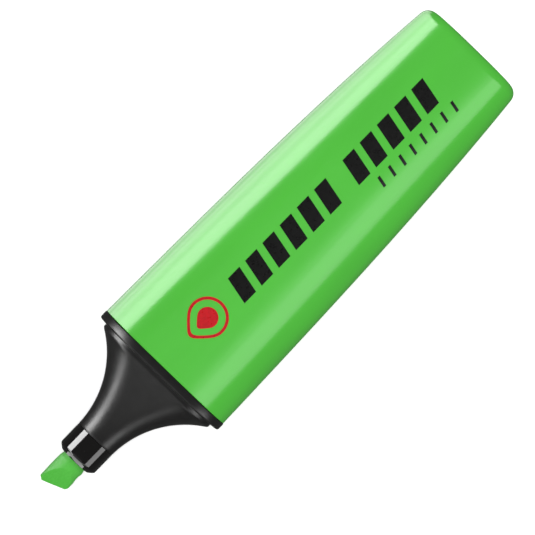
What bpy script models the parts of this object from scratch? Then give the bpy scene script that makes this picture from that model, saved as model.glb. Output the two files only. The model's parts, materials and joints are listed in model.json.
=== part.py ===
"""A flat highlighter pen lying on a table, with its pull-off cap lying in front of the nib.

The pen's axis runs along X: the nib points to -X and the barrel's back end to +X. X = 0 is the joint between the
black flange and the barrel, Y is across the wide face, and Z = 0 is the table. All lengths are in metres.
"""

from math import cos, hypot, pi, radians, sin, sqrt

import bmesh
import bpy
from mathutils import Vector

MM = 0.001

# The whole pen
AXIS_HEIGHT = 8.5 * MM  # half of the flange's thickness: the pen lies on its wide face
CAPPED_LENGTH = 105.0 * MM
SIDE_FLAT = 0.2 * MM  # the narrow sides are round but for this much either side of the middle
CORNER_POINTS = 11  # points on each rounded corner of a cross-section
SEAM_GAP = 0.1 * MM  # between two faces that meet at a visible seam
FIT_GAP = 0.3 * MM  # between two pieces that fit inside each other

# Barrel
BARREL_LENGTH = 73.5 * MM
BARREL_HALF_WIDTH = 13.4 * MM  # at the joint
BARREL_WIDTH_SLOPE = 0.018  # how fast each side comes in, at the joint
BARREL_WIDTH_CUBIC = 4.6  # how fast the sides curve in towards the back, per square metre
BARREL_HALF_HEIGHT = 8.4 * MM
BARREL_HEIGHT_DROP = 2.7 * MM  # how much each wide face has come in at the back end
BARREL_FLAT_LENGTH = 34.0 * MM  # the wide faces are parallel up to here
BARREL_END_RADIUS = 1.7 * MM
BARREL_WALL = 1.4 * MM
BARREL_FLOOR = 1.6 * MM
RIB_THICKNESS = 1.2 * MM
RIB_SPACING = 10.0 * MM  # between the two ribs on a wide wall
RIB_ROOT = 0.6 * MM  # how deep a rib runs into its wall
RIB_END_X = 58.0 * MM

# Front section: flange, seat of the cap, neck and the skirt inside the barrel
FLANGE_LENGTH = 1.45 * MM
FLANGE_HALF_WIDTH = 13.5 * MM
FLANGE_HALF_HEIGHT = 8.5 * MM
FLANGE_EDGE = 0.4 * MM
SEAT_LENGTH = 1.05 * MM
SEAT_INSET = 1.5 * MM  # from the flange's outline to the seat's
SEAT_EDGE = 0.25 * MM
NECK_LENGTH = 14.0 * MM
NECK_FLARE_RADIUS = 17.2 * MM
NECK_FLARE_LEAD = 0.4 * MM  # the flare's arc starts this far in front of the neck
NECK_WALL = 1.4 * MM
SKIRT_LENGTH = 6.0 * MM
SKIRT_WALL = 1.2 * MM

# Nib holder
HOLDER_RADIUS = 3.81 * MM
HOLDER_LENGTH = 5.1 * MM  # the part that stands out of the neck
HOLDER_EDGE = 0.6 * MM
HOLDER_CONE_LENGTH = 0.3 * MM  # the front face is a shallow cone between its lip and its round edge
HOLDER_LIP_RADIUS = 2.6 * MM
HOLDER_PLUG_RADIUS = 2.95 * MM
HOLDER_PLUG_LENGTH = 6.2 * MM

# Nib
NIB_RADIUS = 2.45 * MM
NIB_REACH = 6.1 * MM  # from the holder's front to the tip
NIB_SLANT = 22.0  # degrees between the writing edge and the pen's cross direction
NIB_LONG_CORNER_Y = 2.1 * MM  # the side of the nib that reaches furthest
NIB_EDGE_HALF_HEIGHT = 0.5 * MM
NIB_BEVEL_LENGTH = 3.2 * MM
NIB_SHANK_INSET = 0.35 * MM  # the shank in the holder is this much slimmer than the head
NIB_TAIL_X = 8.0 * MM
NIB_TAIL_TAPER = 0.8 * MM

# Ink reservoir and its film
RESERVOIR_FRONT_X = -2.4 * MM
RESERVOIR_BACK_X = 57.0 * MM
RESERVOIR_HALF_WIDTH = 8.2 * MM
RESERVOIR_HALF_HEIGHT = 4.9 * MM
FILM_GAP = 0.1 * MM
FILM_THICKNESS = 0.3 * MM

# Cap
CAP_END_HALF_WIDTH = 12.9 * MM
CAP_END_HALF_HEIGHT = 8.1 * MM
CAP_END_RADIUS = 1.7 * MM
CAP_END_WALL = 1.5 * MM
CAP_SIDE_WALL = 1.2 * MM
CAP_RIM_EDGE = 0.3 * MM
WEB_THICKNESS = 1.0 * MM
WEB_FRONT_SETBACK = 17.5 * MM  # the webs' front edges stop this far behind the cap's mouth
SLEEVE_BORE_RADIUS = 4.1 * MM
SLEEVE_WALL = 1.0 * MM
SLEEVE_BASE = 1.0 * MM
SLEEVE_MOUTH_EDGE = 0.35 * MM
SLEEVE_OVERLAP = 4.8 * MM  # how much of the holder the sleeve covers with the cap on

# Places along the axis that follow from the sizes above
FLANGE_FRONT_X = -FLANGE_LENGTH
NECK_BACK_X = FLANGE_FRONT_X - SEAT_LENGTH
NECK_FRONT_X = NECK_BACK_X - NECK_LENGTH
HOLDER_FRONT_X = NECK_FRONT_X - HOLDER_LENGTH
NIB_TIP_X = HOLDER_FRONT_X - NIB_REACH
SEAT_HALF_WIDTH = FLANGE_HALF_WIDTH - SEAT_INSET
SEAT_HALF_HEIGHT = FLANGE_HALF_HEIGHT - SEAT_INSET
CAP_CLOSED_END_X = BARREL_LENGTH - CAPPED_LENGTH  # the cap's far end with the cap on
CAP_TRAVEL = BARREL_LENGTH + CAP_CLOSED_END_X  # pulled off, it lies as far forward as the barrel reaches back


def clear_scene():
    for thing in list(bpy.data.objects):
        bpy.data.objects.remove(thing, do_unlink=True)


def plastic(name, color, roughness):
    """A Principled material in one colour."""
    material = bpy.data.materials.new(name)
    material.use_nodes = True
    shader = material.node_tree.nodes["Principled BSDF"]
    shader.inputs["Base Color"].default_value = (*color, 1.0)
    shader.inputs["Roughness"].default_value = roughness
    material.diffuse_color = (*color, 1.0)
    return material


def outline(half_width, half_height, side_flat=SIDE_FLAT):
    """Points (y, z) round a flat section with round narrow sides."""
    corner = half_height - side_flat
    points = []
    for quarter in range(4):
        side_y = 1 if quarter in (0, 3) else -1
        side_z = 1 if quarter in (0, 1) else -1
        for step in range(CORNER_POINTS):
            angle = (quarter + step / (CORNER_POINTS - 1)) * pi / 2
            y = side_y * (half_width - corner) + corner * cos(angle)
            z = side_z * (half_height - corner) + corner * sin(angle)
            points.append((y, z))
    return points


def circle(radius):
    """Points (y, z) round a circle, as many as any other outline has."""
    return outline(radius, radius, side_flat=0.0)


def fill_ring(bm, x, points):
    """Adds one ring of vertices at x, shifted up to the pen's axis."""
    return [bm.verts.new((x, y, AXIS_HEIGHT + z)) for y, z in points]


def loft(name, stations, material, tube=False):
    """One closed body through a list of (x, points) rings. A tube's last ring joins its first; others get end faces."""
    bm = bmesh.new()
    rings = [fill_ring(bm, x, points) for x, points in stations]
    pairs = list(zip(rings, rings[1:]))
    if tube:
        pairs.append((rings[-1], rings[0]))
    else:
        bm.faces.new(rings[0])
        bm.faces.new(list(reversed(rings[-1])))
    for ring, following in pairs:
        count = len(ring)
        for index in range(count):
            beside = (index + 1) % count
            bm.faces.new((ring[index], ring[beside], following[beside], following[index]))
    bmesh.ops.remove_doubles(bm, verts=bm.verts, dist=1e-7)
    bmesh.ops.recalc_face_normals(bm, faces=bm.faces)
    return finish_mesh(name, bm, material)


def finish_mesh(name, bm, material):
    """Turns a bmesh into a smooth-shaded object with sharp edges where its faces meet steeply."""
    mesh = bpy.data.meshes.new(name)
    bm.to_mesh(mesh)
    bm.free()
    mesh.shade_smooth()
    mesh.set_sharp_from_angle(angle=radians(35))
    mesh.materials.append(material)
    piece = bpy.data.objects.new(name, mesh)
    bpy.context.scene.collection.objects.link(piece)
    return piece


def helper(piece):
    """Marks an object that only shapes another one."""
    piece.hide_render = True
    piece.display_type = "WIRE"


def join(piece, others):
    """Adds each of the others to the piece with a Boolean union."""
    for other in others:
        helper(other)
        union = piece.modifiers.new(f"with_{other.name}", "BOOLEAN")
        union.operation = "UNION"
        union.solver = "EXACT"
        union.object = other


def edge_steps(radius, steps=5):
    """(distance along, inset) pairs down a quarter-round edge, from its start to the end face."""
    return [
        (radius * sin(pi / 2 * step / steps), radius * (1 - cos(pi / 2 * step / steps)))
        for step in range(steps + 1)
    ]


def barrel_half_width(x):
    return BARREL_HALF_WIDTH - BARREL_WIDTH_SLOPE * x - BARREL_WIDTH_CUBIC * x**3


def barrel_half_height(x):
    past = max(0.0, x - BARREL_FLAT_LENGTH) / (BARREL_LENGTH - BARREL_FLAT_LENGTH)
    return BARREL_HALF_HEIGHT - BARREL_HEIGHT_DROP * past**2


def barrel_outline(x, inset=0.0):
    return outline(barrel_half_width(x) - inset, barrel_half_height(x) - inset)


def barrel_rib(name, x_from, x_to, inner, wall_at, along_z, offset, material):
    """A rib from `inner` off the axis into the wall, on the +Y or -Y side, or above or below the core."""
    stations = []
    side = 1 if inner > 0 else -1
    steps = 8
    for step in range(steps + 1):
        x = x_from + (x_to - x_from) * step / steps
        reach = side * (wall_at(x) - BARREL_WALL + RIB_ROOT)
        low, high = sorted((inner, reach))
        across = (offset - RIB_THICKNESS / 2, offset + RIB_THICKNESS / 2)
        if along_z:
            ring = [(across[0], low), (across[1], low), (across[1], high), (across[0], high)]
        else:
            ring = [(low, across[0]), (high, across[0]), (high, across[1]), (low, across[1])]
        stations.append((x, ring))
    return loft(name, stations, material)


def build_barrel(material):
    """The hollow wedge that is held, open at the front, with ribs inside that centre the ink reservoir."""
    front = SEAM_GAP
    inner_end = BARREL_LENGTH - BARREL_FLOOR
    outer_end = BARREL_LENGTH - BARREL_END_RADIUS
    steps = 10
    inside = [
        (x, barrel_outline(x, BARREL_WALL))
        for x in (inner_end + (front - inner_end) * step / steps for step in range(steps + 1))
    ]
    outside = [
        (x, barrel_outline(x))
        for x in (front + (outer_end - front) * step / steps for step in range(steps))
    ]
    end = [
        (outer_end + along, barrel_outline(outer_end + along, inset))
        for along, inset in edge_steps(BARREL_END_RADIUS)
    ]
    barrel = loft("barrel", inside + outside + end, material)

    ribs = []
    core_y = RESERVOIR_HALF_WIDTH + FILM_GAP + FILM_THICKNESS + FIT_GAP
    core_z = RESERVOIR_HALF_HEIGHT + FILM_GAP + FILM_THICKNESS + FIT_GAP
    ribs_from = SKIRT_LENGTH + 2 * MM
    for side in (-1, 1):
        ribs.append(
            barrel_rib(
                f"side_rib_{side}", ribs_from, RIB_END_X, side * core_y, barrel_half_width, False, 0.0, material
            )
        )
        for offset in (-RIB_SPACING / 2, RIB_SPACING / 2):
            name = f"face_rib_{side}_{'left' if offset < 0 else 'right'}"
            ribs.append(
                barrel_rib(name, ribs_from, RIB_END_X, side * core_z, barrel_half_height, True, offset, material)
            )
    join(barrel, ribs)
    return barrel


def neck_half_width(x):
    """The neck's flare is one arc, tangent to the nib holder."""
    along = x - NECK_FRONT_X + NECK_FLARE_LEAD
    return HOLDER_RADIUS + NECK_FLARE_RADIUS - sqrt(NECK_FLARE_RADIUS**2 - along**2)


def neck_outline(x, inset=0.0):
    """Round at the nib holder, a rounded rectangle at the seat."""
    widest = neck_half_width(NECK_BACK_X)
    share = (neck_half_width(x) - HOLDER_RADIUS) / (widest - HOLDER_RADIUS)
    tallest = SEAT_HALF_HEIGHT - (SEAT_HALF_WIDTH - widest)
    half_height = HOLDER_RADIUS + (tallest - HOLDER_RADIUS) * share
    return outline(neck_half_width(x) - inset, half_height - inset, SIDE_FLAT * share)


def build_front_section(material):
    """Flange, seat, neck and skirt in one moulding, hollow from end to end."""
    bore = HOLDER_PLUG_RADIUS + FIT_GAP
    plug_end = NECK_FRONT_X + HOLDER_PLUG_LENGTH + FIT_GAP
    steps = 12
    neck = [
        (x, neck_outline(x))
        for x in (NECK_FRONT_X + NECK_LENGTH * step / steps for step in range(steps + 1))
    ]
    seat = [
        (NECK_BACK_X + along, outline(SEAT_HALF_WIDTH - inset, SEAT_HALF_HEIGHT - inset))
        for inset, along in reversed(edge_steps(SEAT_EDGE, 3)[:-1])
    ]
    seat.append((FLANGE_FRONT_X, outline(SEAT_HALF_WIDTH, SEAT_HALF_HEIGHT)))
    flange = [
        (
            FLANGE_FRONT_X + FLANGE_EDGE - along,
            outline(FLANGE_HALF_WIDTH - inset, FLANGE_HALF_HEIGHT - inset),
        )
        for along, inset in reversed(edge_steps(FLANGE_EDGE, 4))
    ]
    flange_back = -SEAM_GAP
    flange.append((flange_back, outline(FLANGE_HALF_WIDTH, FLANGE_HALF_HEIGHT)))
    skirt_inset = BARREL_WALL + FIT_GAP
    skirt = [
        (x, outline(BARREL_HALF_WIDTH - skirt_inset, BARREL_HALF_HEIGHT - skirt_inset))
        for x in (flange_back, 0.0)
    ]
    skirt.append((SKIRT_LENGTH, barrel_outline(SKIRT_LENGTH, skirt_inset)))
    mouth = [(x, barrel_outline(SKIRT_LENGTH, skirt_inset + SKIRT_WALL)) for x in (SKIRT_LENGTH, NECK_BACK_X)]
    throat_from = NECK_BACK_X - 1.2 * MM
    throat_to = plug_end + 1.2 * MM
    throat = [
        (x, neck_outline(x, NECK_WALL))
        for x in (throat_from + (throat_to - throat_from) * step / 5 for step in range(6))
    ]
    hole = [(plug_end, circle(bore)), (NECK_FRONT_X, circle(bore))]
    return loft("front_section", neck + seat + flange + skirt + mouth + throat + hole, material, tube=True)


def build_nib_holder(material):
    """The polished collar that the nib comes out of, with the plug that holds it in the neck."""
    shank = NIB_RADIUS - NIB_SHANK_INSET + FIT_GAP
    plug_end = NECK_FRONT_X + HOLDER_PLUG_LENGTH
    edge_end = HOLDER_FRONT_X + HOLDER_CONE_LENGTH + HOLDER_EDGE
    outside = [(HOLDER_FRONT_X, circle(HOLDER_LIP_RADIUS))]
    outside += [
        (edge_end - along, circle(HOLDER_RADIUS - inset))
        for along, inset in reversed(edge_steps(HOLDER_EDGE))
    ]
    collar_back = NECK_FRONT_X - SEAM_GAP
    outside.append((collar_back, circle(HOLDER_RADIUS)))
    outside.append((collar_back, circle(HOLDER_PLUG_RADIUS)))
    outside.append((plug_end, circle(HOLDER_PLUG_RADIUS)))
    inside = [(plug_end, circle(shank)), (HOLDER_FRONT_X, circle(shank))]
    return loft("nib_holder", outside + inside, material, tube=True)


def slice_off(bm, point, normal):
    """Cuts away what lies beyond a plane and closes the cut."""
    everything = bm.verts[:] + bm.edges[:] + bm.faces[:]
    cut = bmesh.ops.bisect_plane(
        bm, geom=everything, dist=1e-7, plane_co=point, plane_no=normal, clear_outer=True
    )["geom_cut"]
    edges = [part for part in cut if isinstance(part, bmesh.types.BMEdge)]
    bmesh.ops.contextual_create(bm, geom=edges)


def build_nib(material):
    """A fibre rod with a slanted chisel edge, whose slim tail runs back into the reservoir."""
    neck_in = HOLDER_FRONT_X - 0.1 * MM
    shank = NIB_RADIUS - NIB_SHANK_INSET
    stations = [
        (NIB_TIP_X - 2 * MM, circle(NIB_RADIUS)),
        (neck_in - 0.5 * MM, circle(NIB_RADIUS)),
        (neck_in, circle(shank)),
        (NIB_TAIL_X - 2 * MM, circle(shank)),
        (NIB_TAIL_X, circle(shank - NIB_TAIL_TAPER)),
    ]
    nib = loft("chisel_nib", stations, material)
    bm = bmesh.new()
    bm.from_mesh(nib.data)
    slant = radians(NIB_SLANT)
    forward = Vector((-cos(slant), -sin(slant), 0.0))
    long_corner = Vector((NIB_TIP_X, NIB_LONG_CORNER_Y, AXIS_HEIGHT))
    slice_off(bm, long_corner, forward)
    rise = NIB_RADIUS - NIB_EDGE_HALF_HEIGHT
    for side in (-1, 1):
        edge_point = long_corner + Vector((0.0, 0.0, side * NIB_EDGE_HALF_HEIGHT))
        steep = hypot(rise, NIB_BEVEL_LENGTH)
        bevel_normal = forward * (rise / steep) + Vector((0.0, 0.0, side * NIB_BEVEL_LENGTH / steep))
        slice_off(bm, edge_point, bevel_normal)
    bmesh.ops.recalc_face_normals(bm, faces=bm.faces)
    bm.to_mesh(nib.data)
    bm.free()
    return nib


def build_reservoir(material):
    """The flat fibre core that holds the ink, with a pocket for the nib's tail."""
    pocket = NIB_RADIUS - NIB_SHANK_INSET + FIT_GAP
    pocket_end = NIB_TAIL_X + FIT_GAP
    core = outline(RESERVOIR_HALF_WIDTH, RESERVOIR_HALF_HEIGHT)
    stations = [
        (pocket_end, circle(pocket)),
        (RESERVOIR_FRONT_X, circle(pocket)),
        (RESERVOIR_FRONT_X, core),
        (RESERVOIR_BACK_X, core),
    ]
    return loft("ink_reservoir", stations, material)


def build_film(material):
    """The thin wrap round the core, open at both ends."""
    outward = FILM_GAP + FILM_THICKNESS
    inner = outline(RESERVOIR_HALF_WIDTH + FILM_GAP, RESERVOIR_HALF_HEIGHT + FILM_GAP)
    outer = outline(RESERVOIR_HALF_WIDTH + outward, RESERVOIR_HALF_HEIGHT + outward)
    front, back = RESERVOIR_FRONT_X, RESERVOIR_BACK_X
    stations = [(front, outer), (back, outer), (back, inner), (front, inner)]
    return loft("reservoir_film", stations, material, tube=True)


def cap_x(closed_x):
    """Where a place on the closed cap lies once the cap is pulled off."""
    return closed_x - CAP_TRAVEL


def cap_size(closed_x, inset=0.0):
    """The cap's section: it narrows evenly from its mouth to its closed end."""
    share = (FLANGE_FRONT_X - closed_x) / (FLANGE_FRONT_X - CAP_CLOSED_END_X)
    half_width = FLANGE_HALF_WIDTH + (CAP_END_HALF_WIDTH - FLANGE_HALF_WIDTH) * share
    half_height = FLANGE_HALF_HEIGHT + (CAP_END_HALF_HEIGHT - FLANGE_HALF_HEIGHT) * share
    return outline(half_width - inset, half_height - inset)


def cap_web(name, direction, inner, outer, x_from, x_to, material):
    """A flat web between the cap's wall and the sleeve, on one of the four sides."""
    half = WEB_THICKNESS / 2
    out_y, out_z = direction
    corners = [(inner, -half), (outer, -half), (outer, half), (inner, half)]
    ring = [(along * out_y - across * out_z, along * out_z + across * out_y) for along, across in corners]
    return loft(name, [(cap_x(x_from), ring), (cap_x(x_to), ring)], material)


def build_cap_shell(material):
    """The outer cap: a flat cup with four webs inside that centre the seal sleeve."""
    mouth_x = FLANGE_FRONT_X - SEAM_GAP
    inner_end = CAP_CLOSED_END_X + CAP_END_WALL
    steps = 4
    inside = [
        (cap_x(x), cap_size(x, CAP_SIDE_WALL))
        for x in (inner_end + (mouth_x - CAP_RIM_EDGE - inner_end) * step / steps for step in range(steps + 1))
    ]
    rim = [
        (cap_x(mouth_x), cap_size(mouth_x, CAP_SIDE_WALL - CAP_RIM_EDGE)),
        (cap_x(mouth_x), cap_size(mouth_x, CAP_RIM_EDGE / 2)),
        (cap_x(mouth_x - CAP_RIM_EDGE / 2), cap_size(mouth_x)),
    ]
    end_from = CAP_CLOSED_END_X + CAP_END_RADIUS
    outside = [
        (cap_x(end_from - along), cap_size(end_from - along, inset))
        for along, inset in edge_steps(CAP_END_RADIUS)
    ]
    shell = loft("cap_shell", inside + rim + outside, material)

    sleeve_outer = SLEEVE_BORE_RADIUS + SLEEVE_WALL + FIT_GAP
    web_from = inner_end - 0.6 * MM
    web_to = mouth_x - WEB_FRONT_SETBACK
    reach_y = CAP_END_HALF_WIDTH - CAP_SIDE_WALL + RIB_ROOT
    reach_z = CAP_END_HALF_HEIGHT - CAP_SIDE_WALL + RIB_ROOT
    sides = {"left": (1, 0, reach_y), "top": (0, 1, reach_z), "right": (-1, 0, reach_y), "bottom": (0, -1, reach_z)}
    webs = [
        cap_web(f"web_{side}", (y, z), sleeve_outer, reach, web_from, web_to, material)
        for side, (y, z, reach) in sides.items()
    ]
    join(shell, webs)
    return shell


def build_seal_sleeve(material):
    """The inner cup that closes round the nib holder when the cap is on."""
    base_x = CAP_CLOSED_END_X + CAP_END_WALL + FIT_GAP
    floor_x = base_x + SLEEVE_BASE
    mouth_x = HOLDER_FRONT_X + SLEEVE_OVERLAP
    outer = SLEEVE_BORE_RADIUS + SLEEVE_WALL
    stations = [
        (cap_x(base_x), circle(outer)),
        (cap_x(mouth_x), circle(outer)),
        (cap_x(mouth_x), circle(SLEEVE_BORE_RADIUS + SLEEVE_MOUTH_EDGE)),
        (cap_x(mouth_x - SLEEVE_MOUTH_EDGE), circle(SLEEVE_BORE_RADIUS)),
        (cap_x(floor_x), circle(SLEEVE_BORE_RADIUS)),
    ]
    return loft("cap_seal_sleeve", stations, material)


def on_joint(empty_name, location, pieces):
    """Parents the pieces of a moving body to an empty on its joint's axis, leaving them where they are."""
    empty = bpy.data.objects.new(empty_name, None)
    empty.location = location
    bpy.context.scene.collection.objects.link(empty)
    bpy.context.view_layer.update()
    for piece in pieces:
        piece.parent = empty
        piece.matrix_parent_inverse = empty.matrix_world.inverted()


def main():
    clear_scene()
    green_plastic = plastic("green_plastic", (0.095, 0.53, 0.062), 0.32)
    black_plastic = plastic("black_plastic", (0.012, 0.012, 0.012), 0.45)
    black_gloss = plastic("black_gloss", (0.012, 0.012, 0.012), 0.12)
    inked_felt = plastic("inked_felt", (0.095, 0.50, 0.062), 0.9)
    core_fibre = plastic("core_fibre", (0.25, 0.75, 0.12), 0.95)
    clear_film = plastic("clear_film", (0.85, 0.88, 0.85), 0.25)
    pale_seal = plastic("pale_seal", (0.75, 0.77, 0.74), 0.4)

    build_barrel(green_plastic)
    build_front_section(black_plastic)
    build_nib_holder(black_gloss)
    build_nib(inked_felt)
    build_reservoir(core_fibre)
    build_film(clear_film)
    cap_pieces = [build_cap_shell(green_plastic), build_seal_sleeve(pale_seal)]
    on_joint("cap_slide_axis", (cap_x(FLANGE_FRONT_X), 0.0, AXIS_HEIGHT), cap_pieces)


main()
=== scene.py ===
"""The looks of the flat highlighter: fine meshes, procedural materials, print, camera and studio light.

Metres throughout, in the frame of the CAD model: X = 0 is the joint between flange and barrel, the nib points
to -X, Y is across the wide face and the table is Z = 0.
"""

import json
from math import atan, cos, hypot, pi, radians, sin, sqrt, tan

import bmesh
import bpy
from mathutils import Matrix, Vector, noise

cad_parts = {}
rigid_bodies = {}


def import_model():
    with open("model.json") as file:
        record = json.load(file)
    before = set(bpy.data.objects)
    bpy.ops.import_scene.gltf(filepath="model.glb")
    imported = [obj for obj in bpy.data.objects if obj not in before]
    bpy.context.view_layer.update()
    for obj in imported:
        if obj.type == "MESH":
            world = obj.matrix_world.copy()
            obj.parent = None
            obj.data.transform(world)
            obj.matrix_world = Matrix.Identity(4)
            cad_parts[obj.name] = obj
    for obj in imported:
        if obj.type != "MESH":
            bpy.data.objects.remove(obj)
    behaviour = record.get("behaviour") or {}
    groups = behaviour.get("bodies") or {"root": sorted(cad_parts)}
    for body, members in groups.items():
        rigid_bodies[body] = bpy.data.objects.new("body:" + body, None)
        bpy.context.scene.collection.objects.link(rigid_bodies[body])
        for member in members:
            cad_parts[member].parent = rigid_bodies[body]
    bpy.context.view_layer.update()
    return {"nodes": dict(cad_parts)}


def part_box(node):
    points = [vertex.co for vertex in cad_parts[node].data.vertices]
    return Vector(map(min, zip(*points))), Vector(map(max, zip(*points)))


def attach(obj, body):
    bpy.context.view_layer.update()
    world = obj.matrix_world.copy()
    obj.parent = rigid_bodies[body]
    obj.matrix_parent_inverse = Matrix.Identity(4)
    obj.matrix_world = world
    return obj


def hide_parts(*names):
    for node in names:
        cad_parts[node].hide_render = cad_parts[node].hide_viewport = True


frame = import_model()

MM = 0.001

# Places and sizes of the CAD pieces
BARREL_BACK_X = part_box("barrel")[1].x
FLANGE_HALF_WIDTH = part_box("front_section")[1].y
FLANGE_HALF_HEIGHT = (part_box("front_section")[1].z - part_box("front_section")[0].z) / 2
AXIS_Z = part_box("front_section")[0].z + FLANGE_HALF_HEIGHT
NECK_FRONT_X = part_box("front_section")[0].x
SKIRT_BACK_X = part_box("front_section")[1].x
HOLDER_FRONT_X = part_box("nib_holder")[0].x
HOLDER_BACK_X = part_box("nib_holder")[1].x
HOLDER_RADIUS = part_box("nib_holder")[1].y
NIB_TIP_X, NIB_TAIL_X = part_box("chisel_nib")[0].x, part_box("chisel_nib")[1].x
CAP_FAR_X, CAP_MOUTH_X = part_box("cap_shell")[0].x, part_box("cap_shell")[1].x
SLEEVE_FAR_X, SLEEVE_MOUTH_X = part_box("cap_seal_sleeve")[0].x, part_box("cap_seal_sleeve")[1].x
SLEEVE_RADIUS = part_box("cap_seal_sleeve")[1].y

# Sections: wide faces that are nearly flat, round narrow sides
SIDE_FLAT = 0.2 * MM
CROWN = 0.10 * MM  # how far a wide face has fallen off at its shoulder
CROWN_POWER = 4
FACE_STEPS = 16  # points across half a wide face
ARC_STEPS = 28  # points round a quarter of the outline's narrow side
END_BULGE = 0.25 * MM  # how far a closed end stands out in its middle
END_SHARES = (0.97, 0.9, 0.8, 0.65, 0.5, 0.35, 0.2, 0.08)  # sizes of the rings across a closed end

# Barrel
BARREL_FRONT_X = 0.04 * MM
BARREL_HALF_WIDTH = 13.4 * MM
BARREL_WIDTH_SLOPE = 0.018
BARREL_WIDTH_CUBIC = 4.6
BARREL_HALF_HEIGHT = 8.4 * MM
BARREL_HEIGHT_DROP = 2.7 * MM
BARREL_FLAT_LENGTH = 34.0 * MM
BARREL_END_RADIUS = 1.7 * MM
BARREL_WALL = 1.4 * MM
BARREL_FLOOR = 1.6 * MM

# Front moulding
SEAT_INSET = 1.5 * MM
SEAT_FRONT_X = -2.05 * MM
FLANGE_FRONT_X = -1.5 * MM
FLANGE_BACK_X = -0.02 * MM
FLANGE_EDGE = 0.35 * MM
FLARE_END_X = -2.9 * MM  # from here the neck turns over into the seat
NECK_FLARE_RADIUS = 17.2 * MM
NECK_FLARE_LEAD = 0.4 * MM
NECK_WALL = 1.4 * MM
SKIRT_INSET = 1.8 * MM  # from the barrel's outline to the skirt's
SKIRT_WALL = 1.2 * MM
NECK_BORE_RADIUS = 3.2 * MM

# Nib
NIB_RADIUS = 2.45 * MM
NIB_SHANK_RADIUS = 2.3 * MM
NIB_SLANT = radians(22.0)
NIB_LONG_CORNER_Y = 2.1 * MM
NIB_EDGE_HALF_HEIGHT = 0.45 * MM
NIB_BEVEL_RISE = 0.61
NIB_VOXEL = 0.07 * MM

# Cap
CAP_END_HALF_WIDTH = 12.9 * MM
CAP_END_HALF_HEIGHT = 8.1 * MM
CAP_END_RADIUS = 1.7 * MM
CAP_END_WALL = 1.5 * MM
CAP_SIDE_WALL = 1.2 * MM
WEB_THICKNESS = 1.0 * MM
WEB_REACH_Y = 11.9 * MM
WEB_REACH_Z = 7.1 * MM
SLEEVE_BORE_RADIUS = 4.1 * MM

# Print, on the upper wide face
PRINT_LIFT = 0.02 * MM
PRINT_SLANT = radians(12.0)

# Photographic set-up
CAMERA_TURN = radians(-45.9)
CAMERA_CENTRE = (23.64 * MM, -0.70 * MM)
CAMERA_FIELD = 88.6 * MM
CAMERA_LENS = 300.0
CAMERA_SENSOR = 36.0


# ---------------------------------------------------------------- mesh helpers


def all_round(quarter):
    """The full ring of (y, z) points whose first quarter runs from the top's middle to the side's middle."""
    right_up = quarter
    right_down = [(y, -z) for y, z in reversed(quarter[:-1])]
    left_down = [(-y, -z) for y, z in quarter[1:]]
    left_up = [(-y, z) for y, z in reversed(quarter[1:-1])]
    return right_up + right_down + left_down + left_up


def shoulder_of(half_width, half_height):
    """Where a crowned wide face meets the round side: its y, the side's radius and centre y, and the slope."""
    radius = half_height - SIDE_FLAT - CROWN
    middle = half_width - radius
    slope = atan(CROWN_POWER * CROWN / middle)
    return middle + radius * sin(slope), radius, middle, slope


def section(half_width, half_height):
    """Crowned wide faces joined by round sides, as a ring of (y, z) points."""
    shoulder, radius, middle, slope = shoulder_of(half_width, half_height)
    quarter = []
    for step in range(FACE_STEPS):
        y = shoulder * step / FACE_STEPS
        quarter.append((y, half_height - CROWN * (y / shoulder) ** CROWN_POWER))
    centre_z = half_height - CROWN - radius * cos(slope)
    for step in range(ARC_STEPS + 1):
        angle = slope + (pi / 2 - slope) * step / ARC_STEPS
        quarter.append((middle + radius * sin(angle), centre_z + radius * cos(angle)))
    quarter.append((half_width, 0.0))
    return all_round(quarter)


def even_section(half_width, half_height, side_flat=0.0):
    """The same outline without a crown and with evenly spread points, so that it can turn into a circle."""
    radius = half_height - side_flat
    flat = half_width - radius
    lengths = (flat, radius * pi / 2, side_flat)
    total = sum(lengths)
    count = FACE_STEPS + ARC_STEPS
    quarter = []
    for step in range(count + 1):
        along = total * step / count
        if along < lengths[0]:
            quarter.append((along, half_height))
        elif along <= lengths[0] + lengths[1]:
            angle = (along - lengths[0]) / radius
            quarter.append((flat + radius * sin(angle), side_flat + radius * cos(angle)))
        else:
            quarter.append((half_width, total - along))
    return all_round(quarter)


def circle(radius):
    return even_section(radius, radius)


def scaled(ring, factor):
    return [(y * factor, z * factor) for y, z in ring]


def spread(start, end, steps):
    """Evenly spaced values from start to end, both included."""
    return [start + (end - start) * step / steps for step in range(steps + 1)]


def bulged_end(ring, x, outward):
    """Stations that close an end with a slight bulge, towards +X if outward is 1 and towards -X if it is -1."""
    return [(x + outward * END_BULGE * (1 - share**2), scaled(ring, share)) for share in END_SHARES]


def round_edge(radius, steps):
    """(distance along, inset) pairs down a quarter-round edge."""
    turns = [pi / 2 * step / steps for step in range(steps + 1)]
    return [(radius * sin(turn), radius * (1 - cos(turn))) for turn in turns]


def add_object(name, bm, material, sharp=40.0):
    """Makes a smooth-shaded object whose edges over `sharp` degrees stay crisp."""
    mesh = bpy.data.meshes.new(name)
    bm.to_mesh(mesh)
    bm.free()
    mesh.shade_smooth()
    mesh.set_sharp_from_angle(angle=radians(sharp))
    mesh.materials.append(material)
    piece = bpy.data.objects.new(name, mesh)
    bpy.context.scene.collection.objects.link(piece)
    return piece


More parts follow.
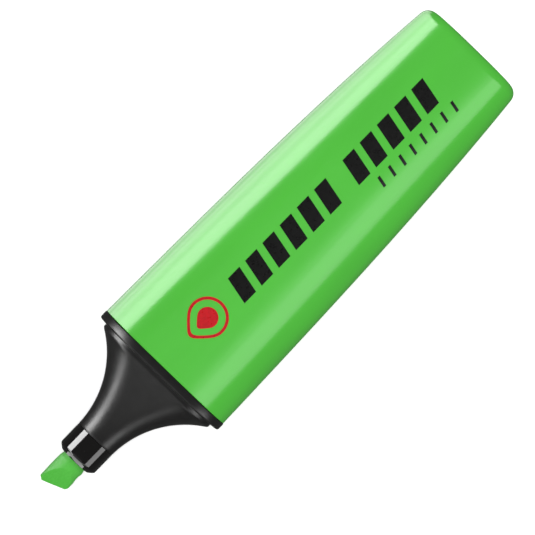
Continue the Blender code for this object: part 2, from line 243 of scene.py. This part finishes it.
def loft(name, stations, material, tube=False, sharp=40.0):
    """A closed mesh through (x, ring) stations about the pen's axis; a tube's last ring joins its first."""
    bm = bmesh.new()
    rings = [[bm.verts.new((x, y, AXIS_Z + z)) for y, z in ring] for x, ring in stations]
    pairs = list(zip(rings, rings[1:]))
    if tube:
        pairs.append((rings[-1], rings[0]))
    else:
        bm.faces.new(rings[0])
        bm.faces.new(list(reversed(rings[-1])))
    for ring, following in pairs:
        for index in range(len(ring)):
            beside = (index + 1) % len(ring)
            bm.faces.new((ring[index], ring[beside], following[beside], following[index]))
    bmesh.ops.remove_doubles(bm, verts=bm.verts, dist=1e-7)
    bmesh.ops.recalc_face_normals(bm, faces=bm.faces)
    return add_object(name, bm, material, sharp)


def place(piece, body, node=None):
    """Says which body a piece moves with and hides the CAD node it stands for."""
    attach(piece, body)
    if node:
        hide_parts(node)
    return piece


# ---------------------------------------------------------------- materials


class Material:
    """A Principled material whose colour, roughness and bump come from procedural textures in object space."""

    def __init__(self, name, color, roughness, **sockets):
        self.material = bpy.data.materials.new(name)
        self.material.use_nodes = True
        self.material.diffuse_color = (*color, 1.0)
        self.nodes = self.material.node_tree.nodes
        self.links = self.material.node_tree.links
        self.shader = self.nodes["Principled BSDF"]
        self.color, self.roughness = color, roughness
        self.shader.inputs["Base Color"].default_value = (*color, 1.0)
        self.shader.inputs["Roughness"].default_value = roughness
        for socket, value in sockets.items():
            self.shader.inputs[socket.replace("_", " ")].default_value = value
        self.coordinates = self.nodes.new("ShaderNodeTexCoord").outputs["Object"]
        self.height = None

    def noise(self, scale, detail=3.0, stretch=(1.0, 1.0, 1.0), rough=0.5):
        mapping = self.nodes.new("ShaderNodeMapping")
        mapping.inputs["Scale"].default_value = stretch
        texture = self.nodes.new("ShaderNodeTexNoise")
        texture.inputs["Scale"].default_value = scale
        texture.inputs["Detail"].default_value = detail
        texture.inputs["Roughness"].default_value = rough
        self.links.new(self.coordinates, mapping.inputs["Vector"])
        self.links.new(mapping.outputs["Vector"], texture.inputs["Vector"])
        return texture.outputs["Fac"]

    def remap(self, value, low, high, start=0.3, end=0.7):
        node = self.nodes.new("ShaderNodeMapRange")
        for socket, number in (("From Min", start), ("From Max", end), ("To Min", low), ("To Max", high)):
            node.inputs[socket].default_value = number
        self.links.new(value, node.inputs["Value"])
        return node.outputs["Result"]

    def vary_roughness(self, source, spread):
        low, high = self.roughness - spread, self.roughness + spread
        self.links.new(self.remap(source, low, high), self.shader.inputs["Roughness"])
        return self

    def vary_color(self, source, other):
        mix = self.nodes.new("ShaderNodeMix")
        mix.data_type = "RGBA"
        mix.inputs["A"].default_value = (*self.color, 1.0)
        mix.inputs["B"].default_value = (*other, 1.0)
        self.links.new(self.remap(source, 0.0, 1.0), mix.inputs["Factor"])
        self.links.new(mix.outputs["Result"], self.shader.inputs["Base Color"])
        return self

    def bump(self, source, distance, strength=1.0):
        node = self.nodes.new("ShaderNodeBump")
        node.inputs["Distance"].default_value = distance
        node.inputs["Strength"].default_value = strength
        self.links.new(source, node.inputs["Height"])
        if self.height is not None:
            self.links.new(self.height, node.inputs["Normal"])
        self.height = node.outputs["Normal"]
        self.links.new(self.height, self.shader.inputs["Normal"])
        return self


GREEN = (0.081, 0.512, 0.047)
BLACK = (0.0062, 0.0060, 0.0058)


def green_plastic():
    """Smooth moulded polypropylene: faint flow lines along the pen and a very fine orange peel."""
    made = Material("green_plastic", GREEN, 0.2)
    flow = made.noise(260.0, 3.0, stretch=(0.25, 1.0, 1.0))
    made.vary_color(flow, tuple(channel * 0.95 for channel in GREEN))
    made.vary_roughness(made.noise(420.0, 4.0, stretch=(0.3, 1.0, 1.0)), 0.025)
    made.bump(made.noise(900.0, 2.0), 0.004 * MM)
    return made.material


def black_satin():
    """Black moulding from a finely eroded tool."""
    made = Material("black_plastic", BLACK, 0.36)
    made.vary_color(made.noise(500.0), tuple(channel * 1.35 for channel in BLACK))
    made.vary_roughness(made.noise(700.0, 4.0), 0.035)
    made.bump(made.noise(6000.0, 3.0), 0.006 * MM)
    return made.material


def black_gloss():
    made = Material("black_gloss", BLACK, 0.07)
    made.vary_roughness(made.noise(900.0, 3.0), 0.015)
    made.bump(made.noise(700.0, 1.0), 0.0015 * MM)
    return made.material


def inked_felt():
    """Pressed fibres along the nib, soaked with ink."""
    ink = (0.080, 0.505, 0.049)
    made = Material("inked_felt", ink, 0.5)
    fibres = made.noise(5200.0, 4.0, stretch=(0.16, 1.0, 1.0), rough=0.6)
    made.vary_color(fibres, (0.098, 0.57, 0.062))
    made.vary_roughness(made.noise(2500.0), 0.08)
    made.bump(fibres, 0.03 * MM, 0.6)
    return made.material


def print_ink(name, color):
    """Screen-printed ink: flat, a little uneven, slightly mottled."""
    made = Material(name, color, 0.3, Specular_IOR_Level=0.3)
    made.vary_color(made.noise(2400.0), tuple(channel * 1.3 for channel in color))
    made.vary_roughness(made.noise(1500.0), 0.04)
    made.bump(made.noise(9000.0, 2.0), 0.002 * MM)
    return made.material


def pale_seal():
    made = Material("pale_seal", (0.62, 0.64, 0.61), 0.4)
    made.vary_color(made.noise(300.0), (0.56, 0.59, 0.55))
    made.vary_roughness(made.noise(800.0), 0.05)
    made.bump(made.noise(2500.0), 0.004 * MM)
    return made.material


def core_fibre():
    """Bundled fibres of the ink core."""
    made = Material("core_fibre", (0.16, 0.5, 0.07), 0.95)
    fibres = made.noise(3800.0, 5.0, stretch=(0.05, 1.0, 1.0), rough=0.7)
    made.vary_color(fibres, (0.08, 0.34, 0.04))
    made.bump(fibres, 0.08 * MM)
    return made.material


def clear_film():
    made = Material("clear_film", (0.7, 0.74, 0.7), 0.22)
    made.vary_color(made.noise(120.0), (0.62, 0.68, 0.62))
    made.vary_roughness(made.noise(400.0), 0.06)
    made.bump(made.noise(350.0, 3.0), 0.03 * MM)
    return made.material


# ---------------------------------------------------------------- pen


def barrel_half_width(x):
    return BARREL_HALF_WIDTH - BARREL_WIDTH_SLOPE * x - BARREL_WIDTH_CUBIC * x**3


def barrel_half_height(x):
    past = max(0.0, x - BARREL_FLAT_LENGTH) / (BARREL_BACK_X - BARREL_FLAT_LENGTH)
    return BARREL_HALF_HEIGHT - BARREL_HEIGHT_DROP * past**2


def barrel_section(x, inset=0.0):
    return section(barrel_half_width(x) - inset, barrel_half_height(x) - inset)


def build_barrel(material):
    """One moulding without a seam: open at the front, closed at the back with a slightly bulged end."""
    front_edge = 0.08 * MM
    inner_end = BARREL_BACK_X - BARREL_FLOOR
    end_from = BARREL_BACK_X - BARREL_END_RADIUS - END_BULGE
    inside_steps, outside_steps = 16, 90
    stations = [(x, barrel_section(x, BARREL_WALL)) for x in spread(inner_end, BARREL_FRONT_X, inside_steps)]
    stations += [
        (BARREL_FRONT_X + front_edge - along, barrel_section(0.0, inset))
        for along, inset in reversed(round_edge(front_edge, 3))
    ]
    first = BARREL_FRONT_X + 2 * front_edge
    stations += [(x, barrel_section(x)) for x in spread(first, end_from, outside_steps)[:-1]]
    stations += [
        (end_from + along, barrel_section(end_from + along, inset))
        for along, inset in round_edge(BARREL_END_RADIUS, 12)
    ]
    stations += bulged_end(stations[-1][1], end_from + BARREL_END_RADIUS, 1)
    piece = loft("barrel_moulding", stations, material)
    return place(piece, "pen", "barrel")


def neck_half_width(x):
    """One arc, tangent to the nib holder, that turns over into the seat of the cap."""
    along = min(x, FLARE_END_X) - NECK_FRONT_X + NECK_FLARE_LEAD
    level = sqrt(NECK_FLARE_RADIUS**2 - along**2)
    width = HOLDER_RADIUS + NECK_FLARE_RADIUS - level
    if x <= FLARE_END_X:
        return width
    span = SEAT_FRONT_X - FLARE_END_X
    share = (x - FLARE_END_X) / span
    start_slope = along / level * span
    rise = FLANGE_HALF_WIDTH - SEAT_INSET - width
    return width + start_slope * share * (1 - share) ** 2 + rise * share**2 * (3 - 2 * share)


def neck_section(x, inset=0.0):
    seat_width, seat_height = FLANGE_HALF_WIDTH - SEAT_INSET, FLANGE_HALF_HEIGHT - SEAT_INSET
    share = (neck_half_width(x) - HOLDER_RADIUS) / (seat_width - HOLDER_RADIUS)
    half_height = HOLDER_RADIUS + (seat_height - HOLDER_RADIUS) * share
    return even_section(neck_half_width(x) - inset, half_height - inset, SIDE_FLAT * share)


def grown(size, by):
    """The even section of a (half width, half height) pair, grown all round."""
    return even_section(size[0] + by, size[1] + by, SIDE_FLAT)


def build_front_moulding(material):
    """Neck, seat of the cap, flange and skirt, hollow from end to end."""
    flange = (FLANGE_HALF_WIDTH, FLANGE_HALF_HEIGHT)
    seat = tuple(size - SEAT_INSET for size in flange)
    front_edge, back_edge, foot = 0.05 * MM, 0.12 * MM, 0.15 * MM
    stations = [(NECK_FRONT_X, circle(HOLDER_RADIUS - front_edge))]
    flare_steps, turn_steps, throat_steps = 44, 10, 8
    flare = spread(NECK_FRONT_X + front_edge, FLARE_END_X, flare_steps)
    turn = spread(FLARE_END_X, SEAT_FRONT_X, turn_steps)
    stations += [(x, neck_section(x)) for x in flare[:-1] + turn]
    stations += [(FLANGE_FRONT_X - foot + along, grown(seat, rise)) for along, rise in round_edge(foot, 5)]
    stations += [
        (FLANGE_FRONT_X + FLANGE_EDGE - along, grown(flange, -inset))
        for along, inset in reversed(round_edge(FLANGE_EDGE, 8))
    ]
    stations += [
        (FLANGE_BACK_X - back_edge + along, grown(flange, -inset)) for along, inset in round_edge(back_edge, 4)
    ]
    skirt = tuple(size - SKIRT_INSET for size in (BARREL_HALF_WIDTH, BARREL_HALF_HEIGHT))
    stations += [(x, grown(skirt, 0.0)) for x in (FLANGE_BACK_X, SKIRT_BACK_X)]
    stations += [(x, grown(skirt, -SKIRT_WALL)) for x in (SKIRT_BACK_X, FLARE_END_X)]
    throat_front, bore_back = HOLDER_BACK_X + 1.5 * MM, HOLDER_BACK_X + 0.3 * MM
    throat = spread(FLARE_END_X, throat_front, throat_steps)[1:]
    stations += [(x, neck_section(x, NECK_WALL)) for x in throat]
    stations += [(x, circle(NECK_BORE_RADIUS)) for x in (bore_back, NECK_FRONT_X)]
    piece = loft("neck_and_flange", stations, material, tube=True, sharp=50.0)
    return place(piece, "pen", "front_section")


def build_collar(material):
    """The polished nib holder: a short cone in front, a straight collar, and a plug inside the neck."""
    lip, hole, plug = 2.5 * MM, 2.36 * MM, 2.95 * MM
    cone_front, cone_back = (0.1 * MM, 2.95 * MM), (0.56 * MM, 3.53 * MM)
    hole_front, hole_edge = (0.3 * MM, hole), (0.03 * MM, hole + 0.05 * MM)
    edge_length, edge_steps = 0.5 * MM, 10
    stations = [
        (HOLDER_FRONT_X + along, circle(radius))
        for along, radius in (hole_front, hole_edge, (0.0, lip), cone_front, cone_back)
    ]
    for share in spread(0.0, 1.0, edge_steps)[1:]:
        radius = cone_back[1] + (HOLDER_RADIUS - cone_back[1]) * (1 - (1 - share) ** 2)
        stations.append((HOLDER_FRONT_X + cone_back[0] + edge_length * share, circle(radius)))
    back = NECK_FRONT_X - 0.02 * MM
    edge = 0.05 * MM
    stations += [(back - edge, circle(HOLDER_RADIUS)), (back, circle(HOLDER_RADIUS - edge))]
    stations += [(back, circle(plug)), (HOLDER_BACK_X, circle(plug)), (HOLDER_BACK_X, circle(hole))]
    piece = loft("nib_collar", stations, material, tube=True, sharp=22.0)
    return place(piece, "pen", "nib_holder")


def slice_off(bm, point, normal):
    """Cuts away what lies beyond a plane and closes the cut."""
    everything = bm.verts[:] + bm.edges[:] + bm.faces[:]
    cut = bmesh.ops.bisect_plane(
        bm, geom=everything, dist=1e-7, plane_co=point, plane_no=normal, clear_outer=True
    )["geom_cut"]
    edges = [part for part in cut if isinstance(part, bmesh.types.BMEdge)]
    bmesh.ops.contextual_create(bm, geom=edges)


def nib_surface(point, normal):
    """How far felt stands out or in at a point: fibre bundles along the nib, soft lumps, and a slight waist."""
    fibre_scale, lump_scale = 2600.0, 420.0
    fibre_height, lump_height = 0.014 * MM, 0.04 * MM
    waist_x, waist_reach, waist_depth = HOLDER_FRONT_X - 1.9 * MM, 1.1 * MM, 0.13 * MM
    fibre = noise.noise(Vector((point.x * 0.15, point.y, point.z)) * fibre_scale)
    lump = noise.noise(point * lump_scale)
    waist = 0.0
    along = (point.x - waist_x) / waist_reach
    if normal.y < 0 and abs(along) < 1:
        waist = waist_depth * (1 - along**2) ** 2 * normal.y
    return fibre_height * fibre + lump_height * lump + waist


def build_nib(material):
    """A round fibre rod cut to a slanted chisel, with the soft edges and lumps of pressed felt."""
    join_x = HOLDER_FRONT_X + 1.0 * MM
    ring = circle(NIB_RADIUS)
    stations = [
        (NIB_TIP_X - 2 * MM, ring),
        (HOLDER_FRONT_X - 0.7 * MM, ring),
        (HOLDER_FRONT_X - 0.1 * MM, circle(NIB_SHANK_RADIUS)),
        (join_x, circle(NIB_SHANK_RADIUS)),
    ]
    head = loft("nib_head", stations, material)
    bm = bmesh.new()
    bm.from_mesh(head.data)
    forward = Vector((-cos(NIB_SLANT), -sin(NIB_SLANT), 0.0))
    long_corner = Vector((NIB_TIP_X, NIB_LONG_CORNER_Y, AXIS_Z))
    slice_off(bm, long_corner, forward)
    steep = hypot(NIB_BEVEL_RISE, 1.0)
    for side in (-1, 1):
        edge_point = long_corner + Vector((0.0, 0.0, side * NIB_EDGE_HALF_HEIGHT))
        slice_off(bm, edge_point, (forward * NIB_BEVEL_RISE + Vector((0.0, 0.0, side))) / steep)
    short_corner = long_corner - Vector((-tan(NIB_SLANT), 1.0, 0.0)) * (NIB_LONG_CORNER_Y + NIB_RADIUS)
    sideways = Vector((0.0, 1.0, 0.0))
    for corner, side_normal, depth in ((long_corner, sideways, 0.36 * MM), (short_corner, -sideways, 0.2 * MM)):
        normal = (forward + side_normal).normalized()
        slice_off(bm, corner - normal * depth, normal)
    bmesh.ops.recalc_face_normals(bm, faces=bm.faces)
    bm.to_mesh(head.data)
    bm.free()
    remesh = head.modifiers.new("felt", "REMESH")
    remesh.mode = "VOXEL"
    remesh.voxel_size = NIB_VOXEL
    remesh.use_smooth_shade = True
    soften = head.modifiers.new("soften", "SMOOTH")
    soften.factor = 0.5
    soften.iterations = 7
    apply_modifiers(head)
    moved = [vertex.co + vertex.normal * nib_surface(vertex.co, vertex.normal) for vertex in head.data.vertices]
    for vertex, position in zip(head.data.vertices, moved):
        vertex.co = position
    head.data.shade_smooth()
    place(head, "pen", "chisel_nib")
    taper = 0.8 * MM
    rod = [
        (join_x - 0.4 * MM, circle(NIB_SHANK_RADIUS - 0.05 * MM)),
        (NIB_TAIL_X - 2 * MM, circle(NIB_SHANK_RADIUS - 0.2 * MM)),
        (NIB_TAIL_X, circle(NIB_SHANK_RADIUS - taper)),
    ]
    place(loft("nib_shank", rod, material), "pen", "chisel_nib")
    return head


def apply_modifiers(piece):
    """Bakes a piece's modifiers into its mesh."""
    graph = bpy.context.evaluated_depsgraph_get()
    mesh = bpy.data.meshes.new_from_object(piece.evaluated_get(graph))
    piece.modifiers.clear()
    piece.data = mesh


# ---------------------------------------------------------------- print


def top_height(x, y):
    """Height of the barrel's upper face."""
    half_height = barrel_half_height(x)
    shoulder, radius, middle, slope = shoulder_of(barrel_half_width(x), half_height)
    if abs(y) < shoulder:
        return AXIS_Z + half_height - CROWN * (abs(y) / shoulder) ** CROWN_POWER
    centre_z = half_height - CROWN - radius * cos(slope)
    return AXIS_Z + centre_z + sqrt(radius**2 - (abs(y) - middle) ** 2)


def ink_sheet(bm, rows, lift):
    """Rows of vertices at a height above the barrel's face."""
    return [[bm.verts.new((x, y, top_height(x, y) + lift)) for x, y in row] for row in rows]


def rim_of(sheet):
    """The loop of vertices round a grid."""
    return sheet[0] + [row[-1] for row in sheet[1:-1]] + sheet[-1][::-1] + [row[0] for row in sheet[-2:0:-1]]


def print_patch(name, material, patches):
    """Thin slabs of ink that follow the barrel's face; each patch is a grid of (x, y) rows."""
    bm = bmesh.new()
    for rows in patches:
        upper, lower = ink_sheet(bm, rows, PRINT_LIFT), ink_sheet(bm, rows, -PRINT_LIFT)
        for sheet, flip in ((upper, False), (lower, True)):
            for first, second in zip(sheet, sheet[1:]):
                for index in range(len(first) - 1):
                    corners = [first[index], first[index + 1], second[index + 1], second[index]]
                    bm.faces.new(list(reversed(corners)) if flip else corners)
        rim_up, rim_low = rim_of(upper), rim_of(lower)
        for index in range(len(rim_up)):
            beside = (index + 1) % len(rim_up)
            bm.faces.new((rim_up[index], rim_up[beside], rim_low[beside], rim_low[index]))
    bmesh.ops.recalc_face_normals(bm, faces=bm.faces)
    return place(add_object(name, bm, material), "pen")


def slanted_bar(x, width, low, high, steps=8):
    """A leaning bar with straight ends, as a grid."""
    rows = []
    for step in range(steps + 1):
        y = low + (high - low) * step / steps
        lean = (y - low) * tan(PRINT_SLANT)
        rows.append([(x + lean + width * column / 4, y) for column in range(5)])
    return rows


def drop_outline(centre, radius, point, steps=80):
    """An ink drop's outline: round behind, drawn out to a tip in front."""
    outline = []
    for step in range(steps):
        turn = 2 * pi * step / steps
        ahead = max(0.0, cos(turn))
        x = centre[0] - radius * (1 + point * ahead**6) * cos(turn)
        outline.append((x, centre[1] + radius * sin(turn) * (1 - 0.2 * ahead**2)))
    return outline


def print_shape(name, material, outer, inner=None):
    """A thin slab of ink inside an outline, or between two outlines of as many points."""
    bm = bmesh.new()
    sheets = []
    for lift in (PRINT_LIFT, -PRINT_LIFT):
        loops = ink_sheet(bm, [loop for loop in (outer, inner) if loop], lift)
        if inner is None:
            middle = sum((vertex.co for vertex in loops[0]), Vector()) / len(outer)
            loops.append(ink_sheet(bm, [[(middle.x, middle.y)]], lift)[0] * len(outer))
        sheets.append(loops)
    upper, lower = sheets
    walls = [(upper[0], lower[0]), (upper[0], upper[1]), (lower[0], lower[1])]
    if inner:
        walls.append((upper[1], lower[1]))
    for first, second in walls:
        for index in range(len(outer)):
            beside = (index + 1) % len(outer)
            corners = dict.fromkeys((first[index], first[beside], second[beside], second[index]))
            bm.faces.new(tuple(corners))
    bmesh.ops.recalc_face_normals(bm, faces=bm.faces)
    return place(add_object(name, bm, material), "pen")


def build_print(black, red):
    """Neutral marks where such a pen carries print: a drop, a run of leaning bars and a row of small ones."""
    low, high = -2.1 * MM, 2.7 * MM
    width, gap, group_gap = 2.7 * MM, 1.35 * MM, 4.0 * MM
    bars = []
    x = 16.8 * MM
    for count in (6, 5):
        for _ in range(count):
            bars.append(slanted_bar(x, width, low, high))
            x += width + gap
        x += group_gap - gap
    print_patch("print_bars", black, bars)
    tick_count, tick_width, tick_low, tick_high = 8, 0.55 * MM, -5.3 * MM, -3.4 * MM
    places = spread(46.3 * MM, 63.5 * MM, tick_count - 1)
    print_patch("print_ticks", black, [slanted_bar(x, tick_width, tick_low, tick_high, 4) for x in places])
    centre = (10.9 * MM, 0.62 * MM)
    ring = [drop_outline(centre, radius, 0.22) for radius in (3.5 * MM, 2.98 * MM)]
    print_shape("print_drop_ring", red, *ring)
    print_shape("print_drop", red, drop_outline(centre, 1.8 * MM, 0.3))


# ---------------------------------------------------------------- cap


def cap_section(x, inset=0.0):
    share = (CAP_MOUTH_X - x) / (CAP_MOUTH_X - CAP_FAR_X)
    half_width = FLANGE_HALF_WIDTH + (CAP_END_HALF_WIDTH - FLANGE_HALF_WIDTH) * share
    half_height = FLANGE_HALF_HEIGHT + (CAP_END_HALF_HEIGHT - FLANGE_HALF_HEIGHT) * share
    return section(half_width - inset, half_height - inset)


def build_cap(material):
    """The cap lies on the table in line with the pen, its mouth towards the nib."""
    rim = 0.3 * MM
    inner_end = CAP_FAR_X + CAP_END_WALL
    inner_radius = 0.8 * MM
    stations = [(inner_end, scaled(cap_section(inner_end, CAP_SIDE_WALL + inner_radius), 0.5))]
    stations += [
        (inner_end + inner_radius - along, cap_section(inner_end, CAP_SIDE_WALL + inset))
        for along, inset in reversed(round_edge(inner_radius, 5))
    ]
    inner_steps, outer_steps = 12, 30
    inside = spread(inner_end + inner_radius, CAP_MOUTH_X - rim, inner_steps)[1:]
    stations += [(x, cap_section(x, CAP_SIDE_WALL)) for x in inside]
    stations += [
        (CAP_MOUTH_X - rim + along, cap_section(CAP_MOUTH_X, CAP_SIDE_WALL - inset))
        for along, inset in round_edge(rim, 4)[1:]
    ]
    edge = 0.15 * MM
    stations += [
        (CAP_MOUTH_X - edge + along, cap_section(CAP_MOUTH_X, inset))
        for along, inset in reversed(round_edge(edge, 3))
    ]
    end_from = CAP_FAR_X + CAP_END_RADIUS + END_BULGE
    stations += [(x, cap_section(x)) for x in spread(CAP_MOUTH_X - 2 * edge, end_from, outer_steps)[:-1]]
    stations += [
        (end_from - along, cap_section(end_from - along, inset))
        for along, inset in round_edge(CAP_END_RADIUS, 12)
    ]
    stations += bulged_end(stations[-1][1], end_from - CAP_END_RADIUS, -1)
    return place(loft("cap_moulding", stations, material), "cap", "cap_shell")


def build_cap_webs(material):
    """Four webs hold the seal sleeve in the middle of the cap."""
    half = WEB_THICKNESS / 2
    inner = SLEEVE_RADIUS + 0.05 * MM
    x_from, x_to = CAP_FAR_X + 1.0 * MM, SLEEVE_MOUTH_X - 2.2 * MM
    bm = bmesh.new()
    for direction, outer in (
        ((1, 0), WEB_REACH_Y),
        ((-1, 0), WEB_REACH_Y),
        ((0, 1), WEB_REACH_Z),
        ((0, -1), WEB_REACH_Z),
    ):
        corners = []
        for x in (x_from, x_to):
            for along, across in ((inner, -half), (outer, -half), (outer, half), (inner, half)):
                y = along * direction[0] - across * direction[1]
                z = along * direction[1] + across * direction[0]
                corners.append(bm.verts.new((x, y, AXIS_Z + z)))
        back, front = corners[:4], corners[4:]
        bm.faces.new(back)
        bm.faces.new(front)
        for index in range(4):
            beside = (index + 1) % 4
            bm.faces.new((back[index], back[beside], front[beside], front[index]))
    bmesh.ops.recalc_face_normals(bm, faces=bm.faces)
    bmesh.ops.bevel(
        bm, geom=bm.edges[:], offset=0.12 * MM, segments=3, affect="EDGES", profile=0.5, clamp_overlap=True
    )
    return place(add_object("cap_webs", bm, material, 60.0), "cap", "cap_shell")


def build_sleeve(material):
    """The seal sleeve: a small cup with a rounded lip."""
    lip, base_edge = 0.45 * MM, 0.5 * MM
    lip_from, floor_x = SLEEVE_MOUTH_X - lip, SLEEVE_FAR_X + 1.0 * MM
    lip_round, base_round = round_edge(lip, 6), round_edge(base_edge, 5)
    stations = [
        (floor_x + base_edge - along, circle(SLEEVE_BORE_RADIUS - inset))
        for along, inset in reversed(base_round)
    ]
    stations += [(lip_from + along, circle(SLEEVE_BORE_RADIUS + inset)) for along, inset in lip_round]
    stations += [(lip_from + along, circle(SLEEVE_RADIUS - inset)) for along, inset in reversed(lip_round)]
    base_to = SLEEVE_FAR_X + base_edge
    stations += [(base_to - along, circle(SLEEVE_RADIUS - inset)) for along, inset in base_round]
    return place(loft("seal_sleeve", stations, material), "cap", "cap_seal_sleeve")


# ---------------------------------------------------------------- set-up


def build_floor():
    """A white table that shows in no reflection and throws no light on the pen."""
    made = Material("floor", (0.93, 0.93, 0.93), 0.9, Specular_IOR_Level=0.0)
    made.vary_color(made.noise(6.0), (0.92, 0.92, 0.92))
    bm = bmesh.new()
    bmesh.ops.create_grid(bm, x_segments=1, y_segments=1, size=3.0)
    floor = add_object("floor", bm, made.material)
    floor.visible_glossy = False
    floor.visible_diffuse = False
    return floor


def build_camera():
    """Straight above the pen, turned so that it runs from lower left to upper right."""
    data = bpy.data.cameras.new("camera")
    data.sensor_width = CAMERA_SENSOR
    data.lens = CAMERA_LENS
    camera = bpy.data.objects.new("camera", data)
    distance = CAMERA_FIELD * CAMERA_LENS / CAMERA_SENSOR
    camera.location = (*CAMERA_CENTRE, AXIS_Z + distance)
    camera.rotation_euler = (0.0, 0.0, CAMERA_TURN)
    bpy.context.scene.collection.objects.link(camera)
    bpy.context.scene.camera = camera


def softbox(name, start, end, across, radiance, lit, turn=0.0, distance=0.16):
    """A panel that only shows in reflections.

    It spans the angles start to end from the vertical, in degrees, towards +Y for turn 0 or -X for turn 90, and
    is as long as the range `across` says, in metres along X or Y. Its distance is from the pen's axis at X = 0.
    """
    middle, half = radians(start + end) / 2, radians(end - start) / 2
    length, width = across[1] - across[0], 2 * distance * tan(half)
    data = bpy.data.lights.new(name, "AREA")
    data.shape = "RECTANGLE"
    data.size, data.size_y = length, width
    data.energy = radiance * pi * length * width
    panel = bpy.data.objects.new(name, data)
    around = Matrix.Rotation(radians(turn), 4, "Z")
    out = Vector((sum(across) / 2, distance * sin(middle), distance * cos(middle)))
    tilt = Matrix.Rotation(-middle, 4, "X")
    panel.matrix_world = Matrix.Translation((0.0, 0.0, AXIS_Z)) @ around @ Matrix.Translation(out) @ tilt
    panel.visible_camera = False
    panel.visible_diffuse = False
    light_only(panel, lit)


def light_only(light, lit):
    """Adds a light that reaches the listed pieces and nothing else."""
    bpy.context.scene.collection.objects.link(light)
    receivers = bpy.data.collections.new(f"{light.name}_receivers")
    for piece in lit:
        receivers.objects.link(piece)
    light.light_linking.receiver_collection = receivers


def overhead(name, irradiance):
    """Soft light from straight above; the irradiance is in units of a white surface's brightness."""
    data = bpy.data.lights.new(name, "SUN")
    data.energy = irradiance * pi
    data.angle = radians(14.0)
    light = bpy.data.objects.new(name, data)
    light.visible_glossy = False
    return light


def build_world():
    """Even white light all round, dim in reflections so that dark plastic stays dark."""
    world = bpy.data.worlds.new("studio")
    world.use_nodes = True
    nodes, links = world.node_tree.nodes, world.node_tree.links
    background = nodes["Background"]
    background.inputs["Color"].default_value = (1.0, 1.0, 1.0, 1.0)
    on_surfaces, in_reflections = 0.72, 0.1
    path = nodes.new("ShaderNodeLightPath")
    strength = nodes.new("ShaderNodeMapRange")
    strength.inputs["To Min"].default_value = on_surfaces
    strength.inputs["To Max"].default_value = in_reflections
    links.new(path.outputs["Is Glossy Ray"], strength.inputs["Value"])
    backdrop = nodes.new("ShaderNodeMath")
    backdrop.operation = "MAXIMUM"
    links.new(strength.outputs["Result"], backdrop.inputs[0])
    links.new(path.outputs["Is Camera Ray"], backdrop.inputs[1])
    links.new(backdrop.outputs["Value"], background.inputs["Strength"])
    bpy.context.scene.world = world
    bpy.context.scene.view_settings.view_transform = "Standard"


def build_lights(barrel_pieces, cap_pieces, dark_pieces, collar, nib, floor):
    """Long panels either side of the pen draw its highlights; suns light the pieces and the table evenly."""
    near, ahead, wide = (-0.06, 0.001), (-0.45, -0.06), (-0.08, 0.08)
    softbox("front_key", 46, 77, near, 17.0, dark_pieces)
    softbox("front_key_ahead", 46, 77, ahead, 7.0, dark_pieces)
    softbox("front_fill", -79, -52, near, 4.5, dark_pieces)
    softbox("front_fill_ahead", -79, -52, ahead, 1.5, dark_pieces)
    softbox("nose_fill", 14, 75, wide, 0.42, dark_pieces, turn=90.0)
    softbox("nose_card", 80, 112, (-0.01, 0.01), 3.6, [collar], turn=90.0, distance=0.041)
    softbox("nib_side", 46, 90, near, 6.5, [nib])
    softbox("nib_side_low", 90, 130, near, 5.0, [nib])
    for name, pieces, across, share in (
        ("barrel", barrel_pieces, (-0.03, 0.17), 1.0),
        ("cap", cap_pieces, (-0.15, -0.03), 0.6),
    ):
        softbox(f"{name}_key", 48, 82, across, 8.6 * share, pieces)
        softbox(f"{name}_low", 82, 108, across, 6.4 * share, pieces)
        softbox(f"{name}_under", 108, 125, across, 4.2 * share, pieces)
        softbox(f"{name}_base", 125, 155, across, 1.8 * share, pieces)
        softbox(f"{name}_fill", -63, -8, across, 1.6 * share, pieces)
        softbox(f"{name}_fill_core", -62, -22, across, 1.2 * share, pieces)
    bpy.context.scene.collection.objects.link(overhead("overhead", 0.38))
    light_only(overhead("floor_light", 0.55), [floor])


def main():
    green = green_plastic()
    black_print = print_ink("print_black", (0.002, 0.0022, 0.002))
    red_print = print_ink("print_red", (0.44, 0.003, 0.008))
    build_camera()
    floor = build_floor()
    build_world()
    barrel = build_barrel(green)
    neck = build_front_moulding(black_satin())
    collar = build_collar(black_gloss())
    nib = build_nib(inked_felt())
    cap = build_cap(green)
    webs = build_cap_webs(green)
    sleeve = build_sleeve(pale_seal())
    build_print(black_print, red_print)
    prints = [piece for piece in bpy.data.objects if piece.name.startswith("print_")]
    for node, material in (("ink_reservoir", core_fibre()), ("reservoir_film", clear_film())):
        frame["nodes"][node].material_slots[0].material = material
    build_lights([barrel, *prints], [cap, webs, sleeve], [neck, collar], collar, nib, floor)


main()
